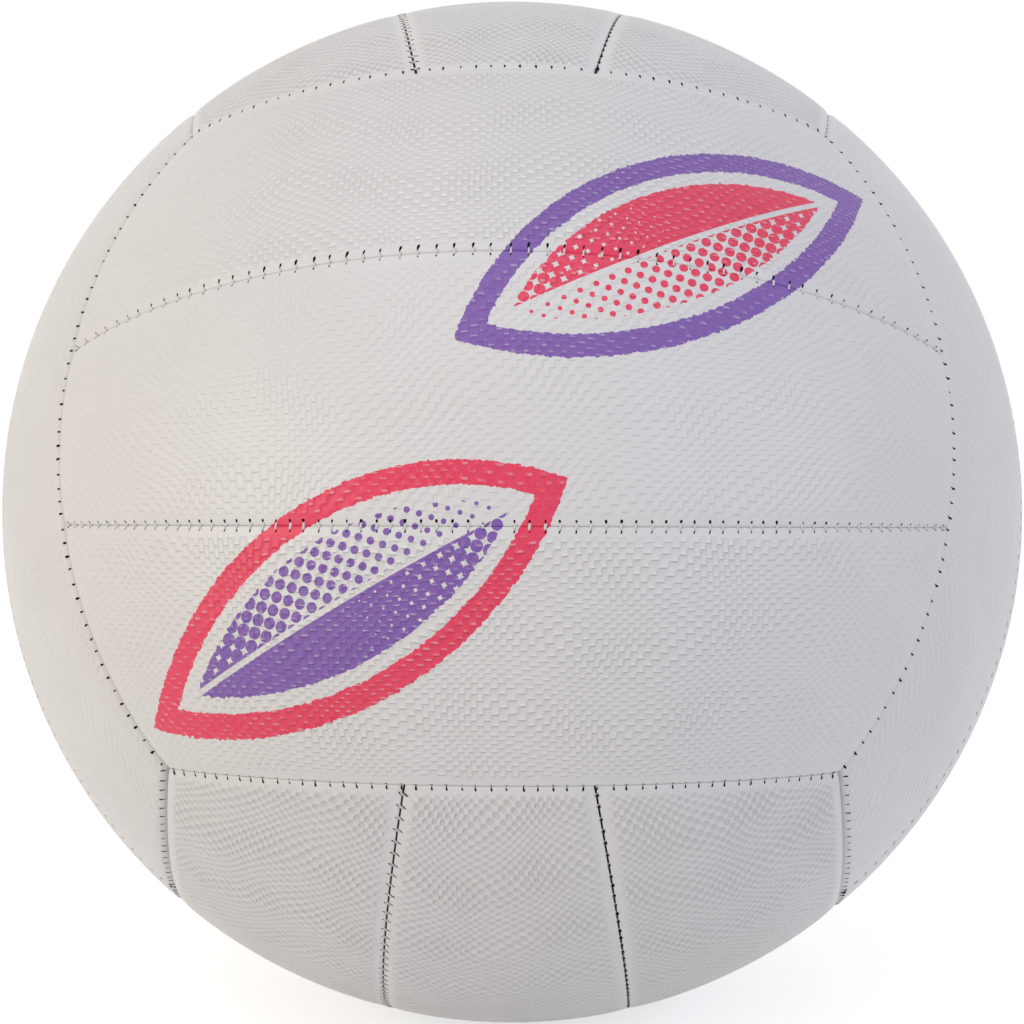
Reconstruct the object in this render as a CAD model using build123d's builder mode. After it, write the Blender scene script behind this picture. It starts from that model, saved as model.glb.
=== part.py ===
"""Netball, size 5: eighteen stitched cover panels with their linings, a rubber bladder and its valve.

The cover is a cube of six faces blown up to a sphere. Each face is three long strips side by side, and
the strips of neighbouring faces run at right angles, so every strip ends on the side of another strip.
The origin is the centre of the ball, +X runs out through the valve and +Z is up.
"""

import os
from math import acos, asin, atan2, cos, degrees, pi, radians, sin, sqrt, tan

from build123d import *

os.makedirs("parts", exist_ok=True)

# Ball: the rule asks for 690 to 710 mm round; it lies with its front face leaning back
circumference = 700.0
roll_back = 20.0

# Seam lines, measured along the surface: how far a strip's end bows out past the plain cube edge,
# and how wide the middle strip is at its waist and along its end seam
edge_bow = 12.6
middle_width = 51.5
middle_end_width = 35.0

# Layers from the outside in
cover_wall = 1.2
lining_wall = 1.4
bladder_wall = 0.7

# Panel edges: the rolled edge, the hem that turns in beside the lining and leans a little from square
# (degrees), the gap between two hems, the glue line between layers
edge_round = 1.2
hem_wall = 1.5
hem_lean = 1.4
seam_gap = 0.1
bond_gap = 0.05

# Waxed thread that lies in the groove of each seam
thread_diameter = 0.6
thread_end_gap = 0.15

# Valve: a rubber housing with its flange bonded inside the bladder, and a plug pressed into it
valve_diameter = 9.0
valve_recess = 0.3
valve_gap = 0.1
flange_diameter = 26.0
flange_wall = 1.2
housing_length = 17.0
housing_tip_diameter = 7.4
plug_diameter = 4.2
plug_tip_diameter = 3.2
plug_length = 20.0
bulb_diameter = 5.6
bulb_length = 5.0
bulb_depth = 8.0
needle_diameter = 2.0
needle_depth = 12.0
needle_lead_in = 0.5
slit_width = 1.6
slit_gap = 0.1

# Spare angle of the strip blanks past the seams that trim them, in degrees
blank_margin = 5.0

# Radii of the layers
ball_radius = circumference / (2 * pi)
cover_back_radius = ball_radius - cover_wall
lining_radius = cover_back_radius - bond_gap
lining_back_radius = lining_radius - lining_wall
bladder_radius = lining_back_radius - bond_gap
bladder_inner_radius = bladder_radius - bladder_wall

# A cube edge is a circle on the sphere, seen from the ball's centre as a cone. The cone passes through
# the edge's two corners and bows past the edge's middle, so its axis leans away from the strip's end.
# The hems on that edge lie on a slightly steeper cone, whose tip stands back from the ball's centre.
bow = edge_bow / ball_radius
edge_turn = atan2(cos(bow) - sqrt(2 / 3), sin(bow))
cone_lean = edge_turn - pi / 4
cone_angle = edge_turn + bow
corner_turn = asin(1 / (sqrt(3) * sin(cone_angle)))
hem_angle = cone_angle - radians(hem_lean)
tip_setback = ball_radius * (sin(cone_angle) / tan(hem_angle) - cos(cone_angle))
cone_height = ball_radius + 2 * tip_setback

# A seam between strips is a plane cut, set by its waist point and by its end on the end seam
waist_turn = middle_width / 2 / ball_radius
waist = Vector(0, sin(waist_turn), cos(waist_turn)) * ball_radius
end_turn = middle_end_width / 2 / (ball_radius * sin(cone_angle))
seam_end = ball_radius * Vector(
    cos(cone_lean) * sin(cone_angle) * cos(end_turn) - sin(cone_lean) * cos(cone_angle),
    sin(cone_angle) * sin(end_turn),
    sin(cone_lean) * sin(cone_angle) * cos(end_turn) + cos(cone_lean) * cos(cone_angle),
)
seam_lean = atan2(waist.Y - seam_end.Y, waist.Z - seam_end.Z)

# The thread rests on the two rolled edges beside it
thread_radius = thread_diameter / 2
roll_spread = edge_round + seam_gap / 2
roll_reach = edge_round + thread_radius + bond_gap
thread_track = ball_radius - edge_round + sqrt(roll_reach**2 - roll_spread**2)


def end_cone_plane(end):
    """Plane on the axis of the cone that cuts a strip's end, in the face's frame; end is 1 or -1."""
    return Plane(
        origin=(0, 0, 0),
        x_dir=(-end * cos(cone_lean), 0, -sin(cone_lean)),
        z_dir=(-end * sin(cone_lean), 0, cos(cone_lean)),
    )


def side_cone_plane():
    """Plane on the axis of the cone that cuts the face's +Y side, the end of the next face's strips."""
    return Plane(
        origin=(0, 0, 0),
        x_dir=(0, -sin(cone_lean), -cos(cone_lean)),
        z_dir=(0, cos(cone_lean), -sin(cone_lean)),
    )


def inner_seam_plane(side):
    """Plane of the seam between the middle strip and the outer one on that side; side is 1 or -1."""
    return Plane(
        origin=(0, side * waist.Y, waist.Z),
        x_dir=(1, 0, 0),
        z_dir=(0, side * cos(seam_lean), -sin(seam_lean)),
    )


def seam_cone(axis_plane, inset, mode):
    """Trim the open part with an edge's cone, made smaller all round by inset."""
    with Locations(axis_plane.offset(inset / sin(hem_angle) - tip_setback)):
        Cone(
            bottom_radius=0,
            top_radius=cone_height * tan(hem_angle),
            height=cone_height,
            align=(Align.CENTER, Align.CENTER, Align.MIN),
            mode=mode,
        )


def strip_blank(inner_radius, outer_radius, low, high):
    """Add a band of the sphere from low to high degrees about the strips' own direction."""
    reach = 45 + degrees(bow) + blank_margin
    start = Plane(
        origin=(0, 0, 0),
        x_dir=(1, 0, 0),
        z_dir=(0, -cos(radians(high)), sin(radians(high))),
    )
    with BuildSketch(start) as band:
        with BuildLine():
            outer = CenterArc((0, 0), outer_radius, 90 - reach, 2 * reach)
            inner = CenterArc((0, 0), inner_radius, 90 - reach, 2 * reach)
            Line(outer @ 0, inner @ 0)
            Line(outer @ 1, inner @ 1)
        make_face()
    revolve(band.sketch, axis=Axis.X, revolution_arc=high - low)


def trim_ends(inset):
    """Keep what lies between the strip's two end seams, drawn in by inset."""
    for end in (1, -1):
        seam_cone(end_cone_plane(end), inset, Mode.INTERSECT)


def middle_strip(inner_radius, outer_radius, inset):
    """Add a middle strip, drawn in from its four seams by inset."""
    reach = degrees(waist_turn) + blank_margin
    strip_blank(inner_radius, outer_radius, -reach, reach)
    trim_ends(inset)
    for side in (1, -1):
        split(bisect_by=inner_seam_plane(side).offset(-inset), keep=Keep.BOTTOM)


def outer_strip(inner_radius, outer_radius, inset):
    """Add the strip on the face's +Y side, drawn in from its four seams by inset."""
    strip_blank(inner_radius, outer_radius, 0, 45 + blank_margin)
    trim_ends(inset)
    seam_cone(side_cone_plane(), -inset, Mode.SUBTRACT)
    split(bisect_by=inner_seam_plane(1).offset(inset), keep=Keep.TOP)


# Cover panels: a tray with rolled edges, whose hem turns in round a pocket for the lining
hem_inset = seam_gap / 2 + hem_wall
pocket_back_radius = lining_back_radius - lining_wall

with BuildPart() as middle_pocket:
    middle_strip(pocket_back_radius, cover_back_radius, hem_inset)

with BuildPart() as outer_pocket:
    outer_strip(pocket_back_radius, cover_back_radius, hem_inset)

with BuildPart() as middle_panel:
    middle_strip(lining_back_radius, ball_radius, seam_gap / 2)
    fillet(middle_panel.faces().sort_by(SortBy.AREA)[-1].edges(), edge_round)
    add(middle_pocket.part, mode=Mode.SUBTRACT)

with BuildPart() as outer_panel:
    outer_strip(lining_back_radius, ball_radius, seam_gap / 2)
    fillet(outer_panel.faces().sort_by(SortBy.AREA)[-1].edges(), edge_round)
    add(outer_pocket.part, mode=Mode.SUBTRACT)

# Linings: layers of woven cloth bonded to the back of each panel, inside its hem
with BuildPart() as middle_lining:
    middle_strip(lining_back_radius, lining_radius, hem_inset + bond_gap)

with BuildPart() as outer_lining:
    outer_strip(lining_back_radius, lining_radius, hem_inset + bond_gap)

# The middle panel over the valve, and its lining, have a round hole for the valve's neck
valve_hole_radius = valve_diameter / 2 + valve_gap

with BuildPart() as valve_panel:
    add(middle_panel.part)
    with Locations((0, 0, ball_radius)):
        Hole(valve_hole_radius, depth=ball_radius)

with BuildPart() as valve_lining:
    add(middle_lining.part)
    with Locations((0, 0, ball_radius)):
        Hole(valve_hole_radius, depth=ball_radius)

# Seam threads: one along a strip's end, and the two between a face's three strips
end_thread_arc = 2 * (corner_turn - (thread_diameter + thread_end_gap) / (thread_track * sin(cone_angle)))

with BuildPart() as end_thread:
    axis = Axis((0, 0, 0), end_cone_plane(1).z_dir)
    start = (-end_cone_plane(1).x_dir).rotate(axis, -degrees(end_thread_arc) / 2)
    with BuildSketch(Plane((0, 0, 0), x_dir=start, z_dir=start.cross(axis.direction))):
        with Locations((thread_track * sin(cone_angle), thread_track * cos(cone_angle))):
            Circle(thread_radius)
    revolve(axis=axis, revolution_arc=degrees(end_thread_arc))

seam_offset = waist.Y * cos(seam_lean) - waist.Z * sin(seam_lean)
seam_track = sqrt(thread_track**2 - seam_offset**2)
seam_turn = asin(seam_end.X / sqrt(ball_radius**2 - seam_offset**2))
inner_thread_arc = 2 * (seam_turn - (thread_radius + thread_end_gap) / seam_track)

with BuildPart() as inner_threads:
    for side in (1, -1):
        axis = Axis((0, 0, 0), inner_seam_plane(side).z_dir)
        middle = Vector(0, side * sin(seam_lean), cos(seam_lean))
        start = middle.rotate(axis, -degrees(inner_thread_arc) / 2)
        with BuildSketch(Plane((0, 0, 0), x_dir=start, z_dir=start.cross(axis.direction))):
            with Locations((seam_track, seam_offset)):
                Circle(thread_radius)
        revolve(axis=axis, revolution_arc=degrees(inner_thread_arc))

# The six faces: outward direction, strip direction, strips from the +Y side down, +X and -X ends
faces = {
    "front": ((0, -1, 0), (1, 0, 0), ("upper", "middle", "lower"), ("right", "left")),
    "rear": ((0, 1, 0), (-1, 0, 0), ("upper", "middle", "lower"), ("left", "right")),
    "top": ((0, 0, 1), (0, -1, 0), ("right", "middle", "left"), ("front", "rear")),
    "bottom": ((0, 0, -1), (0, 1, 0), ("right", "middle", "left"), ("rear", "front")),
    "left": ((-1, 0, 0), (0, 0, 1), ("rear", "middle", "front"), ("top", "bottom")),
    "right": ((1, 0, 0), (0, 0, -1), ("rear", "middle", "front"), ("bottom", "top")),
}


def face_plane(face, turn=1):
    """Frame of one face, leaned back with the ball: Z outward, X along its strips, or back for turn -1."""
    outward, along = faces[face][:2]
    return Plane(
        origin=(0, 0, 0),
        x_dir=turn * Vector(along).rotate(Axis.X, -roll_back),
        z_dir=Vector(outward).rotate(Axis.X, -roll_back),
    )


def place(piece, plane, label):
    """Put a copy of a finished piece on a face and write it under its own name."""
    with BuildPart(plane) as placed:
        add(piece.part)
    placed.part.label = label
    export_step(placed.part, f"parts/{label}.step")


for face in faces:
    strips, ends = faces[face][2:]
    upright = face_plane(face)
    turned = face_plane(face, -1)
    has_valve = face == "right"
    place(outer_panel, upright, f"{face}_{strips[0]}_panel")
    place(valve_panel if has_valve else middle_panel, upright, f"{face}_{strips[1]}_panel")
    place(outer_panel, turned, f"{face}_{strips[2]}_panel")
    place(outer_lining, upright, f"{face}_{strips[0]}_lining")
    place(valve_lining if has_valve else middle_lining, upright, f"{face}_{strips[1]}_lining")
    place(outer_lining, turned, f"{face}_{strips[2]}_lining")
    place(end_thread, upright, f"{face}_{ends[0]}_edge_thread")
    place(end_thread, turned, f"{face}_{ends[1]}_edge_thread")
    place(inner_threads, upright, f"{face}_inner_threads")

# Bladder: one hollow rubber ball, open only where the valve's neck comes through
valve_plane = face_plane("right")
bladder_open = degrees(acos(valve_hole_radius / bladder_radius))
bladder_inner_open = degrees(acos(valve_hole_radius / bladder_inner_radius))

with BuildPart() as bladder_shell:
    with BuildSketch(Plane.XZ):
        with BuildLine():
            outside = CenterArc((0, 0), bladder_radius, -90, 90 + bladder_open)
            inside = CenterArc((0, 0), bladder_inner_radius, -90, 90 + bladder_inner_open)
            Line(outside @ 0, inside @ 0)
            Line(outside @ 1, inside @ 1)
        make_face()
    revolve(axis=Axis.Z)

place(bladder_shell, valve_plane, "bladder")

# Valve housing: the neck fills the holes of cover and lining, the flange lies inside the bladder wall
valve_top = ball_radius - valve_recess
neck_radius = valve_diameter / 2
flange_radius = flange_diameter / 2
flange_top_radius = bladder_inner_radius - bond_gap
flange_back_radius = flange_top_radius - flange_wall
housing_tip = valve_top - housing_length
bulb_center = valve_top - bulb_depth
bulb_swell = (bulb_diameter - plug_diameter) / 2
plug_radius = plug_diameter / 2
plug_hole_radius = plug_radius + bond_gap

with BuildPart() as valve_housing:
    with BuildSketch(Plane.XZ):
        with BuildLine():
            flange_edge = asin(flange_radius / flange_top_radius)
            flange_rim = (flange_radius, flange_top_radius * cos(flange_edge))
            flange_back = (
                flange_back_radius * sin(flange_edge),
                flange_back_radius * cos(flange_edge),
            )
            neck_root = (neck_radius, sqrt(flange_top_radius**2 - neck_radius**2))
            tail_root = (neck_radius, sqrt(flange_back_radius**2 - neck_radius**2))
            Polyline((plug_hole_radius, valve_top), (neck_radius, valve_top), neck_root)
            RadiusArc(neck_root, flange_rim, flange_top_radius)
            Line(flange_rim, flange_back)
            RadiusArc(flange_back, tail_root, -flange_back_radius)
            Polyline(
                tail_root,
                (housing_tip_diameter / 2, housing_tip),
                (plug_hole_radius, housing_tip),
                (plug_hole_radius, bulb_center - bulb_length / 2),
            )
            ThreePointArc(
                (plug_hole_radius, bulb_center - bulb_length / 2),
                (plug_hole_radius + bulb_swell, bulb_center),
                (plug_hole_radius, bulb_center + bulb_length / 2),
            )
            Line((plug_hole_radius, bulb_center + bulb_length / 2), (plug_hole_radius, valve_top))
        make_face()
    revolve(axis=Axis.Z)

place(valve_housing, valve_plane, "valve_housing")

# Valve plug: its bulb locks it in the housing, the needle goes in at the top and the slit lets air through
needle_radius = needle_diameter / 2

with BuildPart() as valve_plug:
    with BuildSketch(Plane.XZ):
        with BuildLine():
            Polyline(
                (plug_radius, bulb_center + bulb_length / 2),
                (plug_radius, valve_top),
                (needle_radius + needle_lead_in, valve_top),
                (needle_radius, valve_top - needle_lead_in),
                (needle_radius, valve_top - needle_depth),
                (0, valve_top - needle_depth),
                (0, valve_top - plug_length),
                (plug_tip_diameter / 2, valve_top - plug_length),
                (plug_radius, housing_tip),
                (plug_radius, bulb_center - bulb_length / 2),
            )
            ThreePointArc(
                (plug_radius, bulb_center - bulb_length / 2),
                (plug_radius + bulb_swell, bulb_center),
                (plug_radius, bulb_center + bulb_length / 2),
            )
        make_face()
    revolve(axis=Axis.Z)
    with Locations((0, 0, valve_top - needle_depth)):
        Box(
            slit_width,
            slit_gap,
            plug_length - needle_depth,
            align=(Align.CENTER, Align.CENTER, Align.MAX),
            mode=Mode.SUBTRACT,
        )

place(valve_plug, valve_plane, "valve_plug")
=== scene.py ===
"""Looks of the netball: grip-moulded cover strips, sewn seams, rubber valve and a plain white studio."""

from math import acos, asin, atan2, cos, pi, radians, sin, sqrt

import bpy
import numpy as np
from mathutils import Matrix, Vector


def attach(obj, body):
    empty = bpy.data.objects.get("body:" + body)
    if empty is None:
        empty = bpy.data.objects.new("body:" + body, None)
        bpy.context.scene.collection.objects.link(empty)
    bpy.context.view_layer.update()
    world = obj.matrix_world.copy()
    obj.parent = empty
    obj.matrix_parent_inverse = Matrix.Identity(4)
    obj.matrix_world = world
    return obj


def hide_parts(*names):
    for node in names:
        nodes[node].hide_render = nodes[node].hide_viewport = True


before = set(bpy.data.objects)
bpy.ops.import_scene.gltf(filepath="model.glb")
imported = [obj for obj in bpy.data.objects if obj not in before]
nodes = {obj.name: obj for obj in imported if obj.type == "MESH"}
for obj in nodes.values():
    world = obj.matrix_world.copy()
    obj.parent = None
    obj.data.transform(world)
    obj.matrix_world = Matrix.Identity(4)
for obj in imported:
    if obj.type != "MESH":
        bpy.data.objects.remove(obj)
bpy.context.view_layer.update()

# Bladder: a thin butyl rubber balloon that holds the air. It is blown up against the cloth linings
# and carries the valve's flange. The moulded skin is near black, with a dusty bloom from its mould.
bladder_black = (0.022, 0.021, 0.021, 1.0)
bladder_bloom = (0.075, 0.072, 0.07, 1.0)


def add_node(tree, kind, inputs=None, **options):
    """Put one node in a shader tree; inputs gives each socket, by name or number, a value or a link."""
    node = tree.nodes.new(kind)
    for name, value in options.items():
        setattr(node, name, value)
    for key, value in (inputs or {}).items():
        if isinstance(value, bpy.types.NodeSocket):
            tree.links.new(value, node.inputs[key])
        else:
            node.inputs[key].default_value = value
    return node


def calc(tree, operation, *terms):
    """One Math node on numbers or sockets, taken in order."""
    return add_node(tree, "ShaderNodeMath", dict(enumerate(terms)), operation=operation).outputs[0]


def ramp(tree, value, low, high):
    """Soft step: 0 at low, 1 at high and an S curve between; low may be above high."""
    limits = {"Value": value, "From Min": low, "From Max": high}
    return add_node(tree, "ShaderNodeMapRange", limits, interpolation_type="SMOOTHSTEP").outputs[0]


def mix_colour(tree, share, first, second, blend_type="MIX"):
    """Blend of two colours, all second where share is 1, or both multiplied there."""
    feeds = {0: share, 6: first, 7: second}
    return add_node(tree, "ShaderNodeMix", feeds, data_type="RGBA", blend_type=blend_type).outputs[2]


def noise(tree, place, per_metre, detail):
    """Noise with about so many patches per metre."""
    feeds = {"Vector": place, "Scale": per_metre, "Detail": detail}
    return add_node(tree, "ShaderNodeTexNoise", feeds).outputs[0]


def object_place(tree):
    """Point on the piece in the ball's own frame."""
    return add_node(tree, "ShaderNodeTexCoord").outputs["Object"]


def new_finish(name, specular):
    """An empty material, its tree and its shader, wired to the output."""
    material = bpy.data.materials.new(name)
    material.use_nodes = True
    tree = material.node_tree
    tree.nodes.clear()
    shader = add_node(tree, "ShaderNodeBsdfPrincipled", {"Specular IOR Level": specular})
    add_node(tree, "ShaderNodeOutputMaterial", {"Surface": shader.outputs[0]})
    return material, tree, shader


def dress(tree, shader, colour, roughness, height, depth):
    """Give a shader its colour, roughness and relief; depth is the relief's full height in metres."""
    relief = add_node(tree, "ShaderNodeBump", {"Height": height, "Distance": depth, "Strength": 1.0})
    tree.links.new(colour, shader.inputs["Base Color"])
    tree.links.new(roughness, shader.inputs["Roughness"])
    tree.links.new(relief.outputs[0], shader.inputs["Normal"])


def new_group(name, inputs, outputs):
    """An empty shader node group with its named sockets, and what feeds into and out of it."""
    group = bpy.data.node_groups.new(name, "ShaderNodeTree")
    for in_out, sockets in (("INPUT", inputs), ("OUTPUT", outputs)):
        for socket, kind in sockets.items():
            group.interface.new_socket(name=socket, in_out=in_out, socket_type="NodeSocket" + kind)
    given = group.nodes.new("NodeGroupInput").outputs
    result = group.nodes.new("NodeGroupOutput").inputs
    return group, given, result


# Skin of all the rubber pieces: fine pits, and patches of dusty bloom that are duller than the rest
dust_patches_per_metre = 70.0
dust_span = (0.38, 0.72)
bare_roughness = 0.48
dust_roughness = 0.22
moulded_rubber, given, result = new_group(
    "moulded_rubber",
    {"Rubber": "Color", "Bloom": "Color", "Pits": "Float"},
    {"Color": "Color", "Roughness": "Float", "Height": "Float"},
)
rubber_place = object_place(moulded_rubber)
dust = noise(moulded_rubber, rubber_place, dust_patches_per_metre, detail=4.0)
dust = ramp(moulded_rubber, dust, *dust_span)
pits = noise(moulded_rubber, rubber_place, given["Pits"], detail=3.0)
rubber_colour = mix_colour(moulded_rubber, dust, given["Rubber"], given["Bloom"])
rubber_roughness = calc(moulded_rubber, "MULTIPLY_ADD", dust, dust_roughness, bare_roughness)
moulded_rubber.links.new(rubber_colour, result["Color"])
moulded_rubber.links.new(rubber_roughness, result["Roughness"])
moulded_rubber.links.new(pits, result["Height"])


def rubber_finish(name, rubber, bloom, pits_per_metre, pit_depth):
    """Material of one rubber piece, with the shared skin in its own colours."""
    material, tree, shader = new_finish(name, specular=0.4)
    feeds = {"Rubber": rubber, "Bloom": bloom, "Pits": pits_per_metre}
    skin = add_node(tree, "ShaderNodeGroup", feeds, node_tree=moulded_rubber).outputs
    dress(tree, shader, skin["Color"], skin["Roughness"], skin["Height"], pit_depth)
    return material


def refinish(node_name, material):
    """Give a carried-over solid its finish."""
    mesh = nodes[node_name].data
    mesh.materials.clear()
    mesh.materials.append(material)


bladder_rubber = rubber_finish(
    "bladder_rubber", bladder_black, bladder_bloom, pits_per_metre=650.0, pit_depth=0.00006
)
refinish("bladder", bladder_rubber)

# Valve housing: a grey moulded rubber neck whose flange is bonded to the bladder. Its face sits a
# little below the cover, in a round hole of the right face's middle panel.
housing_grey = (0.06, 0.06, 0.062, 1.0)
housing_bloom = (0.13, 0.13, 0.132, 1.0)
housing_rubber = rubber_finish(
    "housing_rubber", housing_grey, housing_bloom, pits_per_metre=1500.0, pit_depth=0.00004
)
refinish("valve_housing", housing_rubber)

# Valve plug: a softer black rubber pin with the needle's hole down its middle, pressed into the
# housing and locked there by its bulb. Needles have polished it, so its bloom is faint.
plug_black = (0.018, 0.018, 0.019, 1.0)
plug_bloom = (0.04, 0.04, 0.042, 1.0)
plug_rubber = rubber_finish("plug_rubber", plug_black, plug_bloom, pits_per_metre=2200.0, pit_depth=0.00003)
refinish("valve_plug", plug_rubber)

# Linings: layers of woven polyester and cotton bonded to the back of every panel, inside its hem.
# The raw cloth is cream, with the glue that soaked in showing as darker patches.
cloth_cream = (0.66, 0.61, 0.5, 1.0)
cloth_glued = (0.5, 0.44, 0.33, 1.0)
cloth_threads_per_metre = 1100.0
weave_depth = 0.0001
glue_patches_per_metre = 45.0
glue_span = (0.4, 0.7)
dry_roughness = 0.9
glue_roughness = -0.25
cloth, tree, shader = new_finish("lining_cloth", specular=0.15)
cloth_place = object_place(tree)
cloth_axes = add_node(tree, "ShaderNodeSeparateXYZ", {0: cloth_place}).outputs
yarn_places = [calc(tree, "MULTIPLY", axis, pi * cloth_threads_per_metre) for axis in cloth_axes]
yarns = [calc(tree, "SINE", place) for place in yarn_places]
weave = calc(tree, "MULTIPLY", yarns[1], calc(tree, "ADD", yarns[0], yarns[2]))
glue = ramp(tree, noise(tree, cloth_place, glue_patches_per_metre, detail=4.0), *glue_span)
cloth_colour = mix_colour(tree, glue, cloth_cream, cloth_glued)
cloth_roughness = calc(tree, "MULTIPLY_ADD", glue, glue_roughness, dry_roughness)
dress(tree, shader, cloth_colour, cloth_roughness, weave, weave_depth)
for node_name in nodes:
    if node_name.endswith("_lining"):
        refinish(node_name, cloth)

# Cover panels: eighteen strips of moulded synthetic rubber with a grip of small raised bricks, three
# on each face of a cube blown up to a sphere. Each is turned in at its edges, bonded to its lining and
# sewn to its neighbours through the turned edge, which pulls the seams down a little.
circumference = 0.7
ball_radius = circumference / (2 * pi)
roll_back = radians(20)
bow_out = 0.0126
middle_width = 0.0515
middle_end_width = 0.035
panel_wall = 0.0012
hem_wall = 0.0015
hem_depth = 0.00265
seam_dip = 0.0003
seam_dip_reach = 0.002
valve_panel = ("right", "middle")
valve_hole_radius = 0.0046

# Half the gap at a seam: pulled shut, plain, at the bottom's loose strip ends, and between gaping strips
shut_gap = 0.000003
plain_gap = 0.00002
loose_gap = 0.0001
open_gap = 0.0002

# How an edge rolls over, as the reach of the roll, its fall and its softness: half for a quarter round,
# two for a slope that eases into the bottom of a groove
closed_roll = (0.0008, 0.00008, 0.5)
side_roll = (0.0016, 0.0006, 0.5)
curled_roll = (0.0012, 0.0004, 0.5)
tight_roll = (0.0006, 0.00025, 0.5)
open_roll = (0.0004, 0.0004, 0.5)
thin_roll = (0.0014, 0.0006, 2.0)
low_roll = (0.0018, 0.001, 2.0)
soft_roll = (0.0024, 0.0013, 2.0)
groove_roll = (0.004, 0.001, 2.0)
valve_hole_roll = (0.0004, 0.0004, 0.5)

# Depth of the grip: plain, on the main faces' outer strips, and at the top and bottom. On the main faces
# a share of it is lost towards the ends of the strips
main_grip = 0.92
rim_grip = 1.25
deep_grip = 1.7
fade_from = 0.45
fade_share = 0.55

# A cube edge is a circle on the sphere, about an axis that leans by cone_lean from its face's middle;
# a seam between strips is a circle whose plane leans by seam_lean and misses the centre by seam_miss
edge_bow = bow_out / ball_radius
edge_turn = atan2(cos(edge_bow) - sqrt(2 / 3), sin(edge_bow))
cone_lean = edge_turn - pi / 4
cone_angle = edge_turn + edge_bow
corner_turn = asin(1 / (sqrt(3) * sin(cone_angle)))
waist_turn = middle_width / 2 / ball_radius
end_turn = middle_end_width / 2 / (ball_radius * sin(cone_angle))
seam_end_across = sin(cone_angle) * sin(end_turn)
seam_end_out = sin(cone_lean) * sin(cone_angle) * cos(end_turn) + cos(cone_lean) * cos(cone_angle)
seam_lean = atan2(sin(waist_turn) - seam_end_across, cos(waist_turn) - seam_end_out)
seam_miss = sin(waist_turn - seam_lean)
strip_length = 2 * ball_radius * (pi / 4 + edge_bow)
outer_width = ball_radius * (pi / 4 - waist_turn - edge_bow / 3)

# Each face: its outward direction, the direction of its strips, its strips from the upper, right or rear
# one on, and the names of the cube edges at the two ends of the strips
faces = {
    "front": ((0, -1, 0), (1, 0, 0), ("upper", "middle", "lower"), ("right", "left")),
    "rear": ((0, 1, 0), (-1, 0, 0), ("upper", "middle", "lower"), ("left", "right")),
    "top": ((0, 0, 1), (0, -1, 0), ("right", "middle", "left"), ("front", "rear")),
    "bottom": ((0, 0, -1), (0, 1, 0), ("right", "middle", "left"), ("rear", "front")),
    "left": ((-1, 0, 0), (0, 0, 1), ("rear", "middle", "front"), ("top", "bottom")),
    "right": ((1, 0, 0), (0, 0, -1), ("rear", "middle", "front"), ("bottom", "top")),
}
main_faces = ("front", "rear")

# Gaps of each face's strips: between them, at their ends and along the face's own edge
face_gaps = {
    "front": (plain_gap, shut_gap, plain_gap),
    "rear": (plain_gap, shut_gap, plain_gap),
    "top": (open_gap, plain_gap, plain_gap),
    "bottom": (open_gap, loose_gap, plain_gap),
    "left": (open_gap, plain_gap, shut_gap),
    "right": (open_gap, plain_gap, shut_gap),
}

# Rolls of each face's strips: at their first end, at their second end, along the face's own edge and
# between them
face_rolls = {
    "front": (closed_roll, curled_roll, tight_roll, tight_roll),
    "rear": (curled_roll, closed_roll, tight_roll, tight_roll),
    "top": (tight_roll, tight_roll, tight_roll, open_roll),
    "bottom": (tight_roll, tight_roll, tight_roll, open_roll),
    "left": (thin_roll, soft_roll, groove_roll, open_roll),
    "right": (low_roll, thin_roll, side_roll, open_roll),
}

# Grip of each face: its depth on the middle strip, on the outer ones, and the share lost at their ends
face_grips = {
    "front": (main_grip, rim_grip, fade_share),
    "rear": (main_grip, rim_grip, fade_share),
    "top": (deep_grip, deep_grip, 0.0),
    "bottom": (deep_grip, deep_grip, 0.0),
    "left": (main_grip, main_grip, 0.0),
    "right": (main_grip, main_grip, 0.0),
}

# Faces whose bricks end along their strips, and which way; elsewhere they end across the strips
brick_ends = {"top": 1, "bottom": -1}

# The grip and the print are laid out in millimetres. The grip starts at a place of its own on each panel
millimetres = 1000
strip_shift = 61.0
face_shift = 23.0

# Grid lines of a strip: these far from an edge, where the cover rolls over, and evenly spaced between
close_lines = 0.001 * np.array([0, 0.08, 0.2, 0.36, 0.56, 0.8, 1.1, 1.5, 2.1, 3.0, 4.2])
even_from = 0.0055
along_spacing = 0.00075
across_spacing = 0.0032

# Grid lines round the valve hole: these far from its rim, with so many cells across the hole, and no
# other lines within so many times their reach
rim_lines = 0.001 * np.array([0, 0.1, 0.3, 0.6, 1.1, 1.8])
hole_cells = 10
cleared_reach = 1.3


def turn_about_x(directions):
    """The ball's roll: directions turned back about the X axis, as the front face leans."""
    x, y, z = np.moveaxis(np.asarray(directions, float), -1, 0)
    c, s = cos(roll_back), sin(roll_back)
    return np.stack([x, y * c + z * s, z * c - y * s], -1)


def face_axes(face):
    """Three directions of a face, as rows: along its strips, across them, and out of the ball."""
    out, along, _, _ = faces[face]
    return turn_about_x([along, np.cross(out, along), out])


def edge_lines(spacing, width):
    """Grid lines over a width, as places from -1 to 1: close together by its two edges, then even."""
    even_count = max(2, round((width - 2 * even_from) / spacing))
    even = np.linspace(even_from, width - even_from, even_count)
    return np.concatenate([close_lines, even, width - close_lines[::-1]]) / width * 2 - 1


def hole_lines(lines, half_size):
    """Grid lines with those by the valve hole swapped for closer ones, over the hole and round its rim."""
    rim = valve_hole_radius + rim_lines
    inner = np.linspace(-valve_hole_radius, valve_hole_radius, hole_cells + 1)
    spots = np.concatenate([-rim[::-1], inner[1:-1], rim])
    kept = lines[np.abs(lines * half_size) > cleared_reach * rim[-1]]
    return np.sort(np.append(kept, spots / half_size))


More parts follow.
